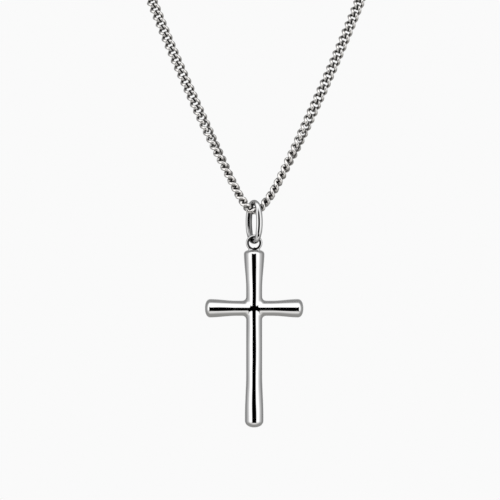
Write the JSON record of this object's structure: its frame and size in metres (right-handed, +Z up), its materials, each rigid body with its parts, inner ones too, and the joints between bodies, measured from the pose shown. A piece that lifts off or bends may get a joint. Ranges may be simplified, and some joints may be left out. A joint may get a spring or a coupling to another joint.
{
  "type": "cross pendant on a chain necklace",
  "caption": "Polished metal cross of flared round bars, hung by an eye and an oval bail on a fine curb chain with a plain clasp at the nape.",
  "frame": {"origin": "middle of the clasp's inner side, where the necklace bears on the nape", "axes": "+Z up, the cross hangs down and faces -Y, +X to the right as seen from the front"},
  "size_m": [0.1139, 0.1116, 0.2035],
  "materials": {
    "steel": "polished stainless steel",
    "chain": "polished stainless steel links"
  },
  "bodies": {
    "necklace": {"chain_left": "chain", "chain_right": "chain", "clasp": "steel", "ring_left": "steel", "ring_right": "steel"},
    "bail": {"bail": "steel"},
    "cross": {"cross": "steel"}
  },
  "joints": [
    {"name": "bail_swing", "type": "hinge", "parent": "necklace", "child": "bail", "pos_m": [0, -0.1054, -0.151], "axis": [0.8387, 0.5446, 0], "range_deg": [-75, 75]},
    {"name": "cross_swing", "type": "hinge", "parent": "bail", "child": "cross", "pos_m": [0, -0.1054, -0.15855], "axis": [0, 1, 0], "range_deg": [-75, 75]}
  ]
}
